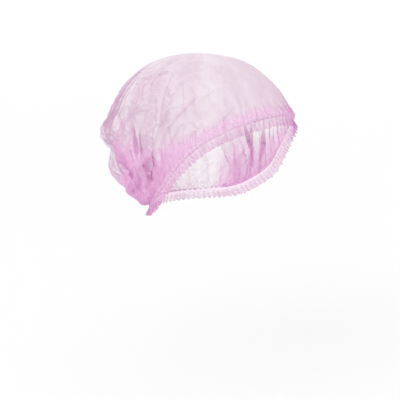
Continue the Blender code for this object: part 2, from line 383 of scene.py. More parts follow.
class Sheet:
    """The cloth as a grid of columns round the cap and rows from the frill to the top."""

    def __init__(self, settings):
        self.settings = settings
        self.columns = settings.gather_count * COLUMNS_PER_GATHER
        self.angles = column_angles(self.columns)
        self.rim = rim_points(self.angles)
        self.curve, self.run = section_curves(self.angles)
        self.length = self.run[:, -1]
        self.climb = self.row_distances()
        self.share = self.climb / self.length[:, None]
        self.points = self.lay_out()
        turn = np.radians(self.angles)[:, None]
        radius = self.length[:, None] - self.climb
        self.flat = np.stack([radius * np.sin(turn), radius * np.cos(turn)], -1)
        self.slack = {
            name: smooth_column(SLACK_TABLE, name, self.angles)[:, None]
            for name in SLACK_TABLE
            if name != "angle"
        }
        self.left = smooth_step(self.angles, 190, 220)[:, None]
        self.edge = self.climb / self.slack["climb"]
        edge = self.edge * (1 + 0.3 * self.left)
        self.bunching = self.slack["bunch"] * (1 - smooth_step(edge, 0.40, 1.30))
        self.bunching *= 1 - 0.35 * self.left * smooth_step(edge, 0.1, 0.5)
        self.rng = np.random.default_rng(settings.seed)

    def row_distances(self):
        """How far up the sheet from the elastic each point lies, minus in the frill."""
        frill = -self.settings.frill_length * np.linspace(1, 0, FRILL_ROWS + 1)[:-1] ** 0.8
        gather = GATHER_TOP * np.linspace(0, 1, GATHER_ROWS)
        above = self.length[:, None] - GATHER_TOP
        middle = MIDDLE_TOP * np.arange(1, MIDDLE_ROWS + 1) / MIDDLE_ROWS
        top = MIDDLE_TOP + (1 - MIDDLE_TOP) * np.arange(1, TOP_ROWS + 1) / (TOP_ROWS + 1)
        shares = np.concatenate([middle, top])[None]
        low = np.repeat(np.concatenate([frill, gather])[None], self.columns, axis=0)
        return np.concatenate([low, GATHER_TOP + above * shares], axis=1)

    def lay_out(self):
        """The smooth form of the sheet, before its gathers and folds."""
        down = below_rim(self.angles)[:, None]
        out = outward(self.angles)[:, None]
        climb = self.climb[:, :, None]
        casing = CASING_WIDTH / 2
        frill = np.maximum(-climb - casing, 0)
        strip = self.rim[:, None] - down * np.minimum(climb, 2 * casing)
        strip = strip + out * frill * self.settings.frill_flare
        crown = np.empty(self.climb.shape + (3,))
        for column in range(self.columns):
            for axis in range(3):
                curve = self.curve[column, :, axis]
                crown[column, :, axis] = np.interp(self.climb[column], self.run[column], curve)
        share = smooth_step(climb, casing * 0.75, casing * 4.5)
        return strip * (1 - share) + crown * share

    def normals(self):
        """Direction out of the cap at each point."""
        ahead = np.roll(self.points, -1, axis=0) - np.roll(self.points, 1, axis=0)
        up = np.gradient(self.points, axis=1)
        return unit(np.cross(up, ahead))

    def push(self, lift):
        """Moves each point along its normal."""
        self.points = self.points + self.normals() * lift[:, :, None]

    def wave(self, count):
        """The rise and fall of gathers round the cap, uneven as gathered cloth is."""
        turn = np.arange(self.columns) / self.columns * 2 * math.pi
        drift = 0
        for order in (5, 9, 14, 23):
            size = self.rng.uniform(0.25, 0.6) / order
            drift = drift + size * np.sin(order * turn + self.rng.uniform(0, PHASES))
        size = 1 + 0.45 * np.sin(11 * turn + self.rng.uniform(0, PHASES)) * np.sin(4 * turn)
        return (np.cos(count * turn + 3 * drift) * size)[:, None]

    def gap_to(self, places):
        """Distance on the flat sheet from each point to a line, and the share along it."""
        path = np.array(places, float)
        along = np.linspace(0, len(path) - 1, 8 * (len(path) - 1) + 1)
        spots = np.arange(len(path))
        turns = np.interp(along, spots, path[:, 0])
        climbs = np.interp(along, spots, path[:, 1])
        radius = np.interp(turns % 360, self.angles, self.length) * (1 - climbs)
        turn = np.radians(turns)
        line = np.stack([radius * np.sin(turn), radius * np.cos(turn)], -1)
        best = np.full(self.climb.shape, np.inf)
        share = np.zeros(self.climb.shape)
        for spot in range(len(line) - 1):
            start, step = line[spot], line[spot + 1] - line[spot]
            part = np.clip(((self.flat - start) @ step) / (step @ step), 0, 1)
            gap = np.linalg.norm(self.flat - start - part[:, :, None] * step, axis=2)
            nearer = gap < best
            best = np.where(nearer, gap, best)
            share = np.where(nearer, (spot + part) / (len(line) - 1), share)
        return best, share

    def add_folds(self):
        """The main folds of the slack cloth."""
        lift = np.zeros(self.climb.shape)
        for angle, climb, end_angle, end_climb, width, depth in FOLD_TABLE:
            gap, share = self.gap_to(((angle, climb), (end_angle, end_climb)))
            taper = np.sin(math.pi * (0.08 + 0.84 * share)) ** 0.6
            lift += depth * BAG_DEPTH * taper * np.exp(-((gap / (width * BAG_DEPTH)) ** 2))
        self.push(lift)

    def add_slack(self):
        """Settles the slack cloth, first on a coarse grid and then on a fine one."""
        near = smooth_step(self.climb, 0.004, 0.016)
        top = 1 - smooth_step(self.share, 0.45, 0.80)
        low = 1 - smooth_step(self.edge, 0.3, 1.6)
        calm = 1 - LEFT_CALM * self.left
        bunch = self.slack["bunch"]
        size_round = self.slack["round"] * near * top * calm
        size_round = size_round + BUNCH_SLACK * bunch**3 * low * near * calm**2
        size_up = self.slack["up"] * near * top * calm
        hold = self.slack["hold"] + (1 - near) * 0.5 + 0.03 * (1 - top)
        form = self.points
        moved = np.zeros_like(form)
        for thin, skip, rounds, noise, share, stiffness in SETTLE_STAGES:
            pick = np.s_[::thin, FRILL_ROWS::skip]
            base = form[pick]
            start = base + spread(moved[:, FRILL_ROWS:], base.shape[0], base.shape[1])
            jitter = self.rng.normal(0, noise, base.shape[:2])
            for _ in range(2):
                jitter = (jitter + np.roll(jitter, 1, 0) + np.roll(jitter, -1, 0)) / 2
            free = 1 - np.clip(hold[pick] / 0.05, 0, 1)
            start = start + self.normals()[pick] * (jitter * free)[:, :, None]
            slack = (size_round[pick] * share, size_up[pick] * share)
            shift = settle(base, start, *slack, hold[pick], rounds, stiffness) - base
            moved = np.zeros_like(form)
            moved[:, FRILL_ROWS:] = spread(shift, self.columns, self.climb.shape[1] - FRILL_ROWS)
        border = smooth_step(self.edge, 0.45, 0.85) * (1 - smooth_step(self.edge, 1.3, 1.7))
        moved *= 1 - 0.5 * (border * bunch)[:, :, None]
        self.points = self.soften(form, moved, near, top)

    def soften(self, form, moved, near, top):
        """The settled sheet without its swelling, and a little smoother than it settled."""
        normals = self.normals()
        swelling = blur(blur((moved * normals).sum(axis=2), 20, 4), 20, 4)
        soft = form + moved - normals * (swelling + SINK * near * top)[:, :, None]
        for _ in range(2):
            round_mean = (np.roll(soft, 1, axis=0) + np.roll(soft, -1, axis=0)) / 2
            up_mean = soft.copy()
            up_mean[:, 1:-1] = (soft[:, 2:] + soft[:, :-2]) / 2
            change = 0.5 * (round_mean - soft) + 0.25 * (up_mean - soft)
            soft = soft + change * near[:, :, None]
        return soft

    def add_creases(self):
        """The narrow sharp creases of the table, and small ones scattered over the bag."""
        lift = np.zeros(self.climb.shape)
        mark = np.zeros(self.climb.shape)
        for width, depth, places in CREASE_TABLE:
            gap, share = self.gap_to(places)
            fold = np.exp(-gap / width) * np.sin(math.pi * (0.06 + 0.88 * share)) ** 0.5
            lift += depth * fold
            mark = np.maximum(mark, fold)
        for _ in range(self.settings.crinkle_count):
            side = self.rng.choice((-1, 1))
            angle = side * self.rng.triangular(60, 150, 182)
            climb = self.rng.uniform(0.08, 0.66 if side > 0 else 0.30)
            lean = self.rng.normal(0, 16) + side * 10
            rise = self.rng.uniform(0.06, 0.20) * self.rng.choice((-1, 1))
            width = self.rng.uniform(0.0006, 0.0013)
            size = self.settings.crinkle_height * self.rng.uniform(0.3, 1.0)
            end = np.clip(climb + rise, 0.05, 0.8)
            middle = (angle + lean * 0.5 + self.rng.normal(0, 3), (climb + end) / 2)
            gap, share = self.gap_to(((angle, climb), middle, (angle + lean, end)))
            fold = np.exp(-gap / width) * np.sin(math.pi * (0.04 + 0.92 * share)) ** 0.7
            lift += size * fold * self.rng.choice((-1, 1))
            deep = self.rng.uniform(0.2, 1.0) * (1.0 if side > 0 else 0.2)
            mark = np.maximum(mark, fold**2 * deep)
        self.push(lift)
        self.mark = mark

    def add_gathers(self):
        """Gathers above and below the elastic: fine ones by it, that merge as they climb."""
        depth = self.settings.gather_depth
        reach = self.slack["climb"]
        bunch = self.slack["bunch"]
        start = CASING_WIDTH / 4
        climb = np.maximum(self.climb - start, 0)
        count = self.settings.gather_count
        fine = self.wave(count)
        broad = self.wave(count // 2)
        wide = self.wave(count // 4)
        rise = 1 - np.exp(-climb / GATHER_RISE)
        puff = 1 - 2 * np.abs(np.sin(np.arccos(np.clip(fine / 1.45, -1, 1)) / 2)) ** 1.6
        broad_arch = np.sin(math.pi * np.clip(climb / (reach * 1.1), 0, 1))
        wide_arch = np.sin(math.pi * np.clip(climb / (reach * 1.5), 0, 1))
        wide_arch = wide_arch * smooth_step(reach, 0.02, 0.05)
        fade = np.exp(-climb / np.minimum(reach * 0.5, GATHER_FADE))
        lift = depth * (0.9 + puff) * rise * fade
        lift += depth * 1.1 * (broad - 0.8) * bunch * broad_arch
        lift += depth * 1.5 * (wide - 1.0) * bunch**2 * wide_arch
        frill = np.maximum(-self.climb - start, 0) / self.settings.frill_length
        ruffle = self.wave(count)
        lift += self.settings.frill_ruffle * (ruffle + 0.35 * broad) * frill
        edge = self.points[:, :1] - self.points[:, FRILL_ROWS : FRILL_ROWS + 1]
        uneven = (0.10 * ruffle * broad * frill)[:, :, None]
        self.points = self.points + edge * uneven
        self.push(lift)

        near = np.exp(-np.maximum(self.climb, 0) / PLEAT_FADE)
        # The valleys of the gathers and of the ruffles are denser: partly more cloth overlapping
        # there, partly painted shade in the valleys
        valley_layers_and_shade = 0.5 - 0.5 * np.where(self.climb < 0, 0.8 * ruffle, fine)
        band = np.exp(-((self.climb / BAND_REACH) ** 2))
        pleats = 0.65 * near * (valley_layers_and_shade - 0.42)
        dense = self.bunching * (0.76 + pleats + 0.30 * self.streaks() * (1 - near))
        dense = np.where(self.climb < 0, 0.11 + 0.12 * bunch + 0.30 * (valley_layers_and_shade - 0.5), dense)
        dense = np.maximum(dense, band * (0.10 + 0.30 * (valley_layers_and_shade - 0.5)))
        self.bunching = np.clip(dense, 0, 1)

    def streaks(self):
        """Uneven streaks that run up the cloth from the elastic, between -1 and 1."""
        total = np.zeros(self.climb.shape)
        turn = np.arange(self.columns) / self.columns * 2 * math.pi
        bend = self.climb / 0.03
        for order in (13, 21, 34, 47, 73, 101):
            start = self.rng.uniform(0, PHASES)
            drift = self.rng.normal(0, 0.7)
            total += np.sin(order * turn[:, None] + start + drift * bend) / order**0.25
        return np.clip(total / 2.2, -1, 1)

    def add_cover(self):
        """How much of what is behind it each face of the cloth hides."""
        rise = 1 - smooth_step(self.share, 0.55, 0.80)
        turn = ((self.angles + 180) % 360 - 180)[:, None]
        side = smooth_step(np.abs(turn), 70, 130) * (1 - 0.5 * self.left)
        front = smooth_step(turn, -25, 5) * (1 - smooth_step(turn, 25, 60))
        shaded_front_left = smooth_step(turn, -60, -35) * (1 - smooth_step(turn, -25, 5))
        crown = np.maximum(front, 0.7 * self.left) * smooth_step(self.share, 0.15, 0.45)
        bag_top = smooth_step(self.share, 0.42, 0.55) * (1 - smooth_step(self.share, 0.75, 0.9))
        doubled = self.slack["doubled"] * rise * (1 - 0.5 * self.left)
        cover = self.settings.single_cover * (1 + doubled)
        # Painted light: the cloth hides less towards the top, so the top looks lighter, as if lit
        # from above
        cover *= 1 - 0.28 * smooth_step(self.share, 0.55, 0.95)
        # Less cover up the crown: in front the cloth is stretched thinner, and on the left side
        # it is painted light, lighter where that side lies in shade
        cover *= 1 - 0.30 * crown
        # Painted shade: the front of the left side hides more of what is behind it, so it looks
        # darker, as if in shade
        cover *= 1 + 0.45 * shaded_front_left
        cover *= 1 - 0.30 * side * bag_top
        for angle, climb, end_angle, end_climb, width, strength in SHEER_TABLE:
            gap, along = self.gap_to(((angle, climb), (end_angle, end_climb)))
            taper = np.sin(math.pi * (0.1 + 0.8 * along)) ** 0.5
            thin = strength * taper * np.exp(-((gap / width) ** 2))
            cover *= 1 - 0.7 * thin
            self.bunching *= 1 - thin
        cover *= 1 + side * 0.75 * self.streaks()
        self.crinkled = side * rise * (1 - 0.7 * self.bunching) + 0.04
        line = 1 - smooth_step(np.abs(self.climb), 0.0012, 0.0032)
        dense = np.clip(self.bunching, 0, 1) * (1 - 0.6 * line)
        cover += (self.settings.bunched_cover - cover) * dense
        self.cover = np.clip(cover + self.mark * self.settings.crease_cover, 0.02, 0.95)


def thin_step(row):
    """Every how many columns a row keeps a point."""
    dense = FRILL_ROWS + GATHER_ROWS
    if row < dense:
        return 1
    return 2 if row < dense + MIDDLE_ROWS else 4


def row_bridge(low, high):
    """Faces between two rows of point numbers, the higher one as dense or half as dense."""
    after_low = np.roll(low, -1)
    after_high = np.roll(high, -1)
    if len(low) == len(high):
        return np.stack([low, high, after_high, after_low], 1).tolist()
    first, middle, last = low[0::2], low[1::2], after_low[1::2]
    faces = np.stack([first, high, middle], 1).tolist()
    faces += np.stack([middle, high, after_high], 1).tolist()
    faces += np.stack([middle, after_high, last], 1).tolist()
    return faces


def thicken(sheet, wall):
    """The points and faces of the sheet as a closed solid, and what each point carries."""
    normals = sheet.normals()
    apex = np.array([[0.0, 0.0, CROWN_RISE]])
    points, faces, edges, values = [], [], [], []
    around = (np.radians(sheet.angles) * OVAL_BREADTH / 2)[:, None] + 0 * sheet.climb
    carried = np.concatenate(
        [
            sheet.flat,
            sheet.cover[:, :, None],
            sheet.bunching[:, :, None],
            sheet.crinkled[:, :, None],
            around[:, :, None],
            sheet.climb[:, :, None],
        ],
        axis=2,
    )
    at_top = carried[:, -1].mean(axis=0)
    at_top[:2] = 0
    total = 0
    for inner in (False, True):
        rows = []
        for row in range(sheet.climb.shape[1]):
            step = thin_step(row)
            kept = sheet.points[::step, row]
            if inner:
                kept = kept - normals[::step, row] * wall
            rows.append(total + np.arange(len(kept)))
            total += len(kept)
            points.append(kept)
            values.append(carried[::step, row])
        points.append(apex - (np.array([0, 0, wall]) if inner else 0))
        values.append(at_top[None])
        total += 1
        walls = []
        for low, high in zip(rows, rows[1:]):
            walls += row_bridge(low, high)
        last = rows[-1]
        walls += np.stack([last, np.full(len(last), total - 1), np.roll(last, -1)], 1).tolist()
        faces += [face[::-1] for face in walls] if inner else walls
        edges.append(rows[0])
    outer, within = edges
    faces += np.stack([within, outer, np.roll(outer, -1), np.roll(within, -1)], 1).tolist()
    return np.concatenate(points) - loop_middle(), faces, np.concatenate(values)


def make_mesh_object(name, points, faces, material):
    """A smooth object whose place is in its mesh."""
    mesh = bpy.data.meshes.new(name)
    mesh.from_pydata(points.tolist(), [], faces)
    mesh.shade_smooth()
    mesh.set_sharp_from_angle(angle=SHARP_ANGLE)
    mesh.materials.append(material)
    piece = bpy.data.objects.new(name, mesh)
    bpy.context.scene.collection.objects.link(piece)
    return piece


def new_material(name):
    """A material with its Principled shader."""
    material = bpy.data.materials.new(name)
    material.use_nodes = True
    return material, material.node_tree, material.node_tree.nodes["Principled BSDF"]


def set_inputs(tree, node, inputs):
    """Sets the inputs of a node, given by name or number, to values or links them."""
    for key, value in inputs.items():
        if isinstance(value, bpy.types.NodeSocket):
            tree.links.new(value, node.inputs[key])
        else:
            node.inputs[key].default_value = value


def add_node(tree, kind, inputs=None, **values):
    """A node of a tree, beside the last one, with its plain properties and inputs set."""
    node = tree.nodes.new(kind)
    row, spot = divmod(len(tree.nodes), NODES_IN_ROW)
    node.location = (spot * NODE_GAP, -row * NODE_GAP)
    for name, value in values.items():
        setattr(node, name, value)
    set_inputs(tree, node, inputs or {})
    return node


def do_math(tree, operation, *terms, clamp=False):
    """A Math node on sockets or numbers. Returns its output."""
    inputs = dict(enumerate(terms))
    return add_node(
        tree, "ShaderNodeMath", inputs, operation=operation, use_clamp=clamp
    ).outputs[0]


def mix_colours(tree, factor, first, second):
    """The output of a node that goes from one colour to another."""
    inputs = {"Factor": factor, "A": (*first, 1.0), "B": (*second, 1.0)}
    return add_node(tree, "ShaderNodeMix", inputs, data_type="RGBA").outputs["Result"]


def new_group(kind, name, inputs, outputs):
    """A node group with named sockets, and the nodes of its inputs and outputs."""
    tree = bpy.data.node_groups.new(name, kind)
    for way, sockets in (("INPUT", inputs), ("OUTPUT", outputs)):
        for label, sort in sockets.items():
            tree.interface.new_socket(name=label, in_out=way, socket_type="NodeSocket" + sort)
    return tree, add_node(tree, "NodeGroupInput"), add_node(tree, "NodeGroupOutput")


def web_group():
    """Shader group of a spunbond web: its crossing fibres and its rows of bond points."""
    sizes = dict.fromkeys(("Fibre Scale", "Bond Pitch", "Cloud Scale"), "Float")
    tree, inside, outside = new_group(
        "ShaderNodeTree",
        "spunbond_web",
        {"Vector": "Vector", **sizes},
        dict.fromkeys(("Fibre", "Bond", "Cloud", "Height"), "Float"),
    )
    vector = inside.outputs["Vector"]
    fibre = None
    for angle in FIBRE_ANGLES:
        turn = (0, 0, math.radians(angle))
        inputs = {"Vector": vector, "Rotation": turn, "Scale": FIBRE_STRETCH}
        turned = add_node(tree, "ShaderNodeMapping", inputs)
        inputs = {"Vector": turned.outputs[0], "Scale": inside.outputs["Fibre Scale"]}
        inputs.update({"Detail": 1.5, "Distortion": 0.4})
        noise = add_node(tree, "ShaderNodeTexNoise", inputs).outputs[0]
        ridge = do_math(tree, "ABSOLUTE", do_math(tree, "SUBTRACT", noise, 0.5))
        line = do_math(tree, "MULTIPLY_ADD", ridge, -14.0, 1.0, clamp=True)
        fibre = line if fibre is None else do_math(tree, "MAXIMUM", fibre, line)

    size = inside.outputs["Bond Pitch"]
    pitch = add_node(tree, "ShaderNodeCombineXYZ", {"X": size, "Y": size, "Z": size})
    inputs = {0: vector, 1: pitch.outputs[0]}
    scaled = add_node(tree, "ShaderNodeVectorMath", inputs, operation="DIVIDE")
    split = add_node(tree, "ShaderNodeSeparateXYZ", {0: scaled.outputs[0]}).outputs
    row = do_math(tree, "FLOOR", split["Y"])
    shifted = do_math(tree, "MULTIPLY_ADD", row, 0.5, split["X"])
    across = do_math(tree, "SUBTRACT", do_math(tree, "FRACT", shifted), 0.5)
    upright = do_math(tree, "SUBTRACT", do_math(tree, "FRACT", split["Y"]), 0.5)
    tall = do_math(tree, "MULTIPLY", do_math(tree, "MULTIPLY", upright, upright), 2.2)
    squared = do_math(tree, "MULTIPLY_ADD", across, across, tall)
    bond = do_math(tree, "MULTIPLY_ADD", squared, -14.0, 1.0, clamp=True)

    inputs = {"Vector": vector, "Scale": inside.outputs["Cloud Scale"], "Detail": 4.0}
    cloud = add_node(tree, "ShaderNodeTexNoise", inputs).outputs[0]
    height = do_math(tree, "SUBTRACT", do_math(tree, "MULTIPLY", fibre, 0.6), bond)
    results = {"Fibre": fibre, "Bond": bond, "Cloud": cloud, "Height": height}
    set_inputs(tree, outside, results)
    return tree


def crinkle_group():
    """Shader group of crinkles: an uneven net of thin lines that come and go."""
    sizes = dict.fromkeys(("Cell Width", "Cell Length", "Line Width"), "Float")
    tree, inside, outside = new_group(
        "ShaderNodeTree", "crinkle_lines", {"Vector": "Vector", **sizes}, {"Lines": "Float"}
    )
    given = inside.outputs
    inputs = {"X": given["Cell Width"], "Y": given["Cell Length"], "Z": 1.0}
    cell = add_node(tree, "ShaderNodeCombineXYZ", inputs).outputs[0]
    inputs = {0: given["Vector"], 1: cell}
    scaled = add_node(tree, "ShaderNodeVectorMath", inputs, operation="DIVIDE").outputs[0]
    inputs = {"Vector": scaled, "Scale": 1.1, "Detail": 3.0}
    warp = add_node(tree, "ShaderNodeTexNoise", inputs).outputs["Color"]
    inputs = {0: warp, 1: (1.1, 1.1, 0.0), 2: scaled}
    bent = add_node(tree, "ShaderNodeVectorMath", inputs, operation="MULTIPLY_ADD").outputs[0]
    cells = add_node(
        tree,
        "ShaderNodeTexVoronoi",
        feature="DISTANCE_TO_EDGE",
        voronoi_dimensions="2D",
    )
    set_inputs(tree, cells, {"Vector": bent, "Scale": 1.0})
    narrow = do_math(tree, "DIVIDE", cells.outputs["Distance"], given["Line Width"])
    line = do_math(tree, "SUBTRACT", 1.0, narrow, clamp=True)
    inputs = {"Vector": scaled, "Scale": 1.7, "Detail": 1.0}
    fade = add_node(tree, "ShaderNodeTexNoise", inputs).outputs[0]
    above = do_math(tree, "SUBTRACT", fade, 0.42)
    shown = do_math(tree, "MULTIPLY", above, 6.0, clamp=True)
    set_inputs(tree, outside, {"Lines": do_math(tree, "MULTIPLY", line, shown)})
    return tree


def cloth_material(settings):
    """Sheer pink spunbond: light where it lies single, deep where it is bunched."""
    material, tree, shader = new_material("sheer_nonwoven")

    def carried(name, output="Fac"):
        return add_node(tree, "ShaderNodeAttribute", attribute_name=name).outputs[output]

    flat = add_node(tree, "ShaderNodeUVMap", uv_map="flat_sheet").outputs[0]
    inputs = {"Vector": flat, "Fibre Scale": 900.0, "Bond Pitch": 0.0016, "Cloud Scale": 90.0}
    web = add_node(tree, "ShaderNodeGroup", inputs, node_tree=web_group()).outputs
    along = carried("along_cloth", "Vector")
    loose = carried("crinkled")
    group = crinkle_group()
    crinkles = []
    for width, length, line in CRINKLE_NETS:
        inputs = {"Vector": along, "Cell Width": width, "Cell Length": length, "Line Width": line}
        net = add_node(tree, "ShaderNodeGroup", inputs, node_tree=group).outputs[0]
        crinkles.append(do_math(tree, "MULTIPLY", net, loose))
    dark, light = crinkles

    deep = do_math(tree, "MULTIPLY", carried("bunching"), 3.0, clamp=True)
    colour = mix_colours(tree, deep, settings.cloth_colour, settings.bunched_colour)

    uneven = do_math(tree, "MULTIPLY_ADD", web["Cloud"], 0.6, 0.62)
    fibres = do_math(tree, "MULTIPLY_ADD", web["Fibre"], 0.35, 0.85)
    bonds = do_math(tree, "MULTIPLY_ADD", web["Bond"], -0.25, 1.05)
    cover = do_math(tree, "MULTIPLY", carried("cover"), uneven)
    cover = do_math(tree, "MULTIPLY", cover, fibres)
    cover = do_math(tree, "MULTIPLY", cover, bonds, clamp=True)
    cover = do_math(tree, "MULTIPLY", cover, do_math(tree, "MULTIPLY_ADD", light, -0.75, 1.0))
    cover = do_math(tree, "MULTIPLY_ADD", dark, settings.crease_cover, cover, clamp=True)
    slant = add_node(tree, "ShaderNodeLayerWeight", {"Blend": 0.5}).outputs["Facing"]
    facing = do_math(tree, "MAXIMUM", do_math(tree, "SUBTRACT", 1.0, slant), LEAST_FACING)
    shown = do_math(tree, "SUBTRACT", 1.0, cover)
    shown = do_math(tree, "POWER", shown, do_math(tree, "DIVIDE", 1.0, facing))

    inputs = {"Strength": 0.35, "Distance": 0.0001, "Height": web["Height"]}
    grain = add_node(tree, "ShaderNodeBump", inputs).outputs[0]
    height = do_math(tree, "SUBTRACT", light, dark)
    inputs = {"Strength": 0.5, "Distance": 0.0006, "Height": height, "Normal": grain}
    results = {
        "Base Color": colour,
        "Alpha": do_math(tree, "SUBTRACT", 1.0, shown, clamp=True),
        "Roughness": do_math(tree, "MULTIPLY_ADD", web["Bond"], -0.25, 0.72),
        "Normal": add_node(tree, "ShaderNodeBump", inputs).outputs[0],
        "Specular IOR Level": 0.25,
        "Sheen Weight": 0.15,
        "Sheen Roughness": 0.4,
    }
    set_inputs(tree, shader, results)
    return material


def elastic_material(settings):
    """Pink covered elastic with a faint grain across it."""
    material, tree, shader = new_material("elastic_tape")
    spot = add_node(tree, "ShaderNodeTexCoord").outputs["Object"]
    inputs = {"Vector": spot, "Scale": 1800.0, "Detail": 3.0}
    grain = add_node(tree, "ShaderNodeTexNoise", inputs).outputs[0]
    lighter = [min(1, 1.25 * channel) for channel in settings.elastic_colour]
    colour = mix_colours(tree, grain, settings.elastic_colour, lighter)
    inputs = {"Strength": 0.3, "Distance": 0.0001, "Height": grain}
    bump = add_node(tree, "ShaderNodeBump", inputs).outputs[0]
    set_inputs(tree, shader, {"Base Color": colour, "Normal": bump, "Roughness": 0.6})
    return material


def floor_material(near_grey, far_grey):
    """Matt pale floor, a little deeper under the lamps so that it looks evenly white."""
    material, tree, shader = new_material("pale_floor")
    spot = add_node(tree, "ShaderNodeTexCoord").outputs["Object"]
    far = add_node(tree, "ShaderNodeVectorMath", {0: spot}, operation="LENGTH").outputs["Value"]
    inputs = {"Value": far, "From Min": 0.3, "From Max": 4.0}
    share = add_node(tree, "ShaderNodeMapRange", inputs, interpolation_type="SMOOTHSTEP")
    colour = mix_colours(tree, share.outputs["Result"], [near_grey] * 3, [far_grey] * 3)
    set_inputs(tree, shader, {"Base Color": colour, "Roughness": 0.9})
    return material


def tape_tree():
    """Geometry nodes: a flat tape along a loop, with fine ribs laid across it."""
    sizes = dict.fromkeys(("Width", "Wall", "Rib Pitch", "Rib Radius"), "Float")
    sockets = {"Loop": "Geometry", **sizes, "Material": "Material"}
    tree, inside, outside = new_group(
        "GeometryNodeTree", "ribbed_tape", sockets, {"Tape": "Geometry"}
    )
    given = inside.outputs

    def step(kind, inputs, **values):
        return add_node(tree, "GeometryNode" + kind, inputs, **values).outputs

    curve = step("MeshToCurve", {"Mesh": given["Loop"]})[0]
    upright = step("SetCurveNormal", {"Curve": curve}, mode="Z_UP")[0]
    corners = {"Width": given["Wall"], "Height": given["Width"]}
    profile = step("CurvePrimitiveQuadrilateral", corners)[0]
    tape = step("CurveToMesh", {"Curve": upright, "Profile Curve": profile})[0]

    pitch = {"Curve": upright, "Length": given["Rib Pitch"]}
    spots = step("CurveToPoints", pitch, mode="LENGTH")
    size = {"Vertices": 8, "Radius": given["Rib Radius"], "Depth": given["Width"]}
    rib = step("MeshCylinder", size, fill_type="TRIANGLE_FAN")[0]
    rib = step("Transform", {"Geometry": rib, "Rotation": (math.radians(90), 0, 0)})[0]
    spread_out = {"Points": spots["Points"], "Rotation": spots["Rotation"], "Instance": rib}
    ribs = step("InstanceOnPoints", spread_out)[0]

    join = add_node(tree, "GeometryNodeJoinGeometry", {0: tape})
    tree.links.new(ribs, join.inputs[0])
    real = step("RealizeInstances", {0: join.outputs[0]})[0]
    done = step("SetMaterial", {"Geometry": real, "Material": given["Material"]})[0]
    set_inputs(tree, outside, {"Tape": done})
    return tree


def grow(name, base, tree, values):
    """Runs a tree of geometry nodes on a base object and keeps the result as a plain mesh."""
    modifier = base.modifiers.new(name, "NODES")
    modifier.node_group = tree
    for item in tree.interface.items_tree:
        if item.in_out == "INPUT" and item.name in values:
            modifier[item.identifier] = values[item.name]
    bpy.context.view_layer.update()
    seen = base.evaluated_get(bpy.context.evaluated_depsgraph_get())
    mesh = bpy.data.meshes.new_from_object(seen)
    mesh.name = name
    base.modifiers.remove(modifier)
    bpy.data.objects.remove(base)
    piece = bpy.data.objects.new(name, mesh)
    bpy.context.scene.collection.objects.link(piece)
    return piece


class HairCoverCloth(bpy.types.PropertyGroup):
    """Sizes and colours of the cloth and the elastic."""

    gather_count: IntProperty(
        name="Gathers", description="Gathers round the elastic", default=104, min=24, max=160
    )
    gather_depth: FloatProperty(
        name="Gather depth",
        description="How far a gather stands out",
        default=0.0018,
        unit="LENGTH",
    )
    frill_length: FloatProperty(
        name="Frill length", description="Cloth below the elastic", default=0.0090, unit="LENGTH"
    )
    frill_flare: FloatProperty(
        name="Frill flare", description="Spread of the frill per length", default=0.38
    )
    frill_ruffle: FloatProperty(
        name="Frill ruffle",
        description="Rise of the waves at the frill's edge",
        default=0.0018,
        unit="LENGTH",
    )
    seed: IntProperty(
        name="Seed", description="Start of the uneven gathers and folds", default=11
    )
    crinkle_count: IntProperty(
        name="Crinkles", description="Small creases in the cloth", default=190
    )
    crinkle_height: FloatProperty(
        name="Crinkle height",
        description="Height of the small creases",
        default=0.0008,
        unit="LENGTH",
    )
    sheet_wall: FloatProperty(
        name="Sheet wall", description="Thickness of the cloth", default=0.0003, unit="LENGTH"
    )
    single_cover: FloatProperty(
        name="Single cover",
        description="Cover of each face of a single layer",
        default=0.107,
        subtype="FACTOR",
    )
    crease_cover: FloatProperty(
        name="Crease cover",
        description="Cover that a sharp crease adds",
        default=0.16,
        subtype="FACTOR",
    )
    bunched_cover: FloatProperty(
        name="Bunched cover",
        description="Cover of each face of bunched cloth",
        default=0.75,
        subtype="FACTOR",
    )
    cloth_colour: FloatVectorProperty(
        name="Cloth colour",
        description="Colour of a single layer",
        default=(0.57, 0.27, 0.48),
        subtype="COLOR",
    )
    bunched_colour: FloatVectorProperty(
        name="Bunched colour",
        description="Colour of bunched cloth",
        default=(0.81, 0.44, 0.72),
        subtype="COLOR",
    )
    elastic_colour: FloatVectorProperty(
        name="Elastic colour",
        description="Colour of the elastic",
        default=(0.95, 0.74, 0.89),
        subtype="COLOR",
    )


class HairCoverStudio(bpy.types.PropertyGroup):
    """Floor, lights and camera."""

    azimuth: FloatProperty(
        name="Azimuth",
        description="Camera's turn from the front",
        default=math.radians(-42),
        unit="ROTATION",
    )
    elevation: FloatProperty(
        name="Elevation", description="Camera's tilt", default=math.radians(15), unit="ROTATION"
    )
    distance: FloatProperty(
        name="Distance", description="Camera to its aim", default=1.30, unit="LENGTH"
    )
    view_width: FloatProperty(
        name="View width",
        description="Width of the picture at the cap",
        default=0.396,
        unit="LENGTH",
    )
    aim_right: FloatProperty(
        name="Aim right",
        description="Aim beside the middle of the oval",
        default=-0.004,
        unit="LENGTH",
    )
    aim_up: FloatProperty(
        name="Aim up",
        description="Aim above the elastic in front",
        default=-0.097,
        unit="LENGTH",
    )
    floor_drop: FloatProperty(
        name="Floor drop", description="Floor below the origin", default=0.26, unit="LENGTH"
    )
    room_light: FloatProperty(
        name="Room light", description="Strength of the even light", default=0.81
    )
    window: FloatVectorProperty(
        name="Window",
        description="Where the room is brightest",
        default=(-0.7, -0.4, 0.6),
        subtype="DIRECTION",
    )
    window_light: FloatProperty(
        name="Window light", description="How much brighter the room is there", default=0.52
    )
    key_power: FloatProperty(
        name="Key power", description="Power of the main soft light", default=12.0, unit="POWER"
    )
    fill_power: FloatProperty(
        name="Fill power", description="Power of the side light", default=2.0, unit="POWER"
    )


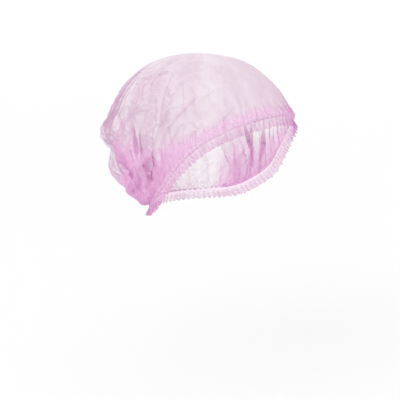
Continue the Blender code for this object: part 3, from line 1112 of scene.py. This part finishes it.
class HAIRCOVER_OT_cloth(bpy.types.Operator):
    """Make the gathered sheet with its frill, gathers, folds and crinkles"""

    bl_idname = "haircover.make_cloth"
    bl_label = "Gathered sheet"

    def execute(self, context):
        settings = context.scene.hair_cover_cloth
        sheet = Sheet(settings)
        sheet.add_folds()
        sheet.add_slack()
        sheet.add_creases()
        sheet.add_gathers()
        sheet.add_cover()
        points, faces, carried = thicken(sheet, settings.sheet_wall)
        piece = make_mesh_object("gathered_sheet", points, faces, cloth_material(settings))
        mesh = piece.data
        corners = np.empty(len(mesh.loops), int)
        mesh.loops.foreach_get("vertex_index", corners)
        layer = mesh.uv_layers.new(name="flat_sheet")
        layer.data.foreach_set("uv", carried[corners, :2].ravel())
        for column, name in ((2, "cover"), (3, "bunching"), (4, "crinkled")):
            values = mesh.attributes.new(name, "FLOAT", "POINT")
            values.data.foreach_set("value", np.ascontiguousarray(carried[:, column]))
        along_cloth = np.pad(carried[:, 5:7], ((0, 0), (0, 1)))
        values = mesh.attributes.new("along_cloth", "FLOAT_VECTOR", "POINT")
        values.data.foreach_set("vector", along_cloth.ravel())
        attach(piece, "root")
        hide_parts("crown")
        return {"FINISHED"}


class HAIRCOVER_OT_elastic(bpy.types.Operator):
    """Make the loop of ribbed elastic inside the gathers"""

    bl_idname = "haircover.make_elastic"
    bl_label = "Elastic"

    def execute(self, context):
        settings = context.scene.hair_cover_cloth
        inset = settings.sheet_wall + TAPE_GAP + RIB_RADIUS
        angles = column_angles(LOOP_POINTS)
        loop = rim_points(angles) - outward(angles) * inset - loop_middle()
        edges = [(spot, (spot + 1) % LOOP_POINTS) for spot in range(LOOP_POINTS)]
        mesh = bpy.data.meshes.new("elastic_loop")
        mesh.from_pydata(loop.tolist(), edges, [])
        base = bpy.data.objects.new("elastic_loop", mesh)
        context.scene.collection.objects.link(base)
        values = {
            "Width": TAPE_WIDTH,
            "Wall": TAPE_WALL,
            "Rib Pitch": RIB_PITCH,
            "Rib Radius": RIB_RADIUS,
            "Material": elastic_material(settings),
        }
        piece = grow("elastic_tape", base, tape_tree(), values)
        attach(piece, "root")
        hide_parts("elastic_band")
        return {"FINISHED"}


class HAIRCOVER_OT_studio(bpy.types.Operator):
    """Make the pale floor, the soft lights and the camera"""

    bl_idname = "haircover.make_studio"
    bl_label = "Studio"

    def execute(self, context):
        settings = context.scene.hair_cover_studio
        self.make_floor(settings.floor_drop)
        self.light_room(context.scene, settings)
        self.lamp("key", (-1.7, -0.2, 1.9), 1.6, settings.key_power)
        self.lamp("fill", (1.8, -0.8, 0.9), 1.4, settings.fill_power)
        self.set_camera(context.scene, settings)
        context.scene.view_settings.view_transform = "Standard"
        context.scene.cycles.transparent_max_bounces = TRANSPARENT_BOUNCES
        return {"FINISHED"}

    def make_floor(self, drop):
        """A round floor that bends up into a wall far from the cap."""
        rings, sides = 40, 96
        radius, bend_start, wall_height = 7.0, 3.5, 3.0
        reach = np.linspace(0, 1, rings) ** 1.5 * radius
        rise = wall_height * smooth_step(reach, bend_start, radius) ** 1.5
        turn = np.arange(sides) / sides * 2 * math.pi
        points = [np.array([[0, 0, -drop]])]
        for out, height in zip(reach[1:], rise[1:]):
            ring = [out * np.cos(turn), out * np.sin(turn), 0 * turn + height - drop]
            points.append(np.stack(ring, 1))
        faces = [(0, 1 + side, 1 + (side + 1) % sides) for side in range(sides)]
        for low in range(1, 1 + (rings - 2) * sides, sides):
            for side in range(sides):
                after = (side + 1) % sides
                far = low + sides
                faces.append((low + side, far + side, far + after, low + after))
        material = floor_material(near_grey=0.87, far_grey=0.97)
        make_mesh_object("floor", np.concatenate(points), faces, material)

    def light_room(self, scene, settings):
        """White light from all round, stronger from the side of the window."""
        world = bpy.data.worlds.new("soft_room")
        world.use_nodes = True
        tree = world.node_tree
        look = add_node(tree, "ShaderNodeTexCoord").outputs["Generated"]
        inputs = {0: look, 1: Vector(settings.window).normalized()}
        window = add_node(tree, "ShaderNodeVectorMath", inputs, operation="DOT_PRODUCT")
        bright = (window.outputs["Value"], settings.window_light, settings.room_light)
        strength = do_math(tree, "MULTIPLY_ADD", *bright)
        back = tree.nodes["Background"]
        set_inputs(tree, back, {"Color": (1, 1, 1, 1), "Strength": strength})
        scene.world = world

    def set_camera(self, scene, settings):
        """The camera, aimed near the middle of the oval at the height of the elastic in front."""
        turn, tilt = settings.azimuth, settings.elevation
        right = Vector((math.cos(turn), math.sin(turn), 0))
        ahead = Vector((math.sin(turn), -math.cos(turn), 0))
        away = ahead * math.cos(tilt) + Vector((0, 0, math.sin(tilt)))
        up = away.cross(right)
        data = bpy.data.cameras.new("camera")
        data.lens = data.sensor_width * settings.distance / settings.view_width
        camera = bpy.data.objects.new("camera", data)
        scene.collection.objects.link(camera)
        aim = Vector(-loop_middle()) + right * settings.aim_right + up * settings.aim_up
        turned = Matrix((right, up, away)).transposed().to_4x4()
        camera.matrix_world = Matrix.Translation(aim + away * settings.distance) @ turned
        scene.camera = camera

    def lamp(self, name, spot, size, power):
        """A large soft lamp that faces the cap."""
        data = bpy.data.lights.new(name, "AREA")
        data.shape = "DISK"
        data.size = size
        data.energy = power
        lamp = bpy.data.objects.new(name, data)
        bpy.context.scene.collection.objects.link(lamp)
        lamp.location = spot
        lamp.rotation_euler = (-Vector(spot)).to_track_quat("-Z", "Y").to_euler()


class HAIRCOVER_PT_sidebar(bpy.types.Panel):
    """Lists the steps and sizes of the cap"""

    bl_label = "Hair Cover Cap"
    bl_space_type = "VIEW_3D"
    bl_region_type = "UI"
    bl_category = "Hair Cover"

    def draw(self, context):
        layout = self.layout
        for step in STEPS:
            layout.operator(step.bl_idname)
        for group in (context.scene.hair_cover_cloth, context.scene.hair_cover_studio):
            for name in group.__annotations__:
                layout.prop(group, name)


STEPS = (HAIRCOVER_OT_studio, HAIRCOVER_OT_elastic, HAIRCOVER_OT_cloth)
CLASSES = (HairCoverCloth, HairCoverStudio, *STEPS, HAIRCOVER_PT_sidebar)


def register():
    for cls in CLASSES:
        bpy.utils.register_class(cls)
    bpy.types.Scene.hair_cover_cloth = PointerProperty(type=HairCoverCloth)
    bpy.types.Scene.hair_cover_studio = PointerProperty(type=HairCoverStudio)


def unregister():
    del bpy.types.Scene.hair_cover_studio
    del bpy.types.Scene.hair_cover_cloth
    for cls in reversed(CLASSES):
        bpy.utils.unregister_class(cls)


def main():
    """Makes the whole scene."""
    register()
    bpy.ops.haircover.make_studio()
    bpy.ops.haircover.make_elastic()
    bpy.ops.haircover.make_cloth()


if __name__ == "__main__":
    main()
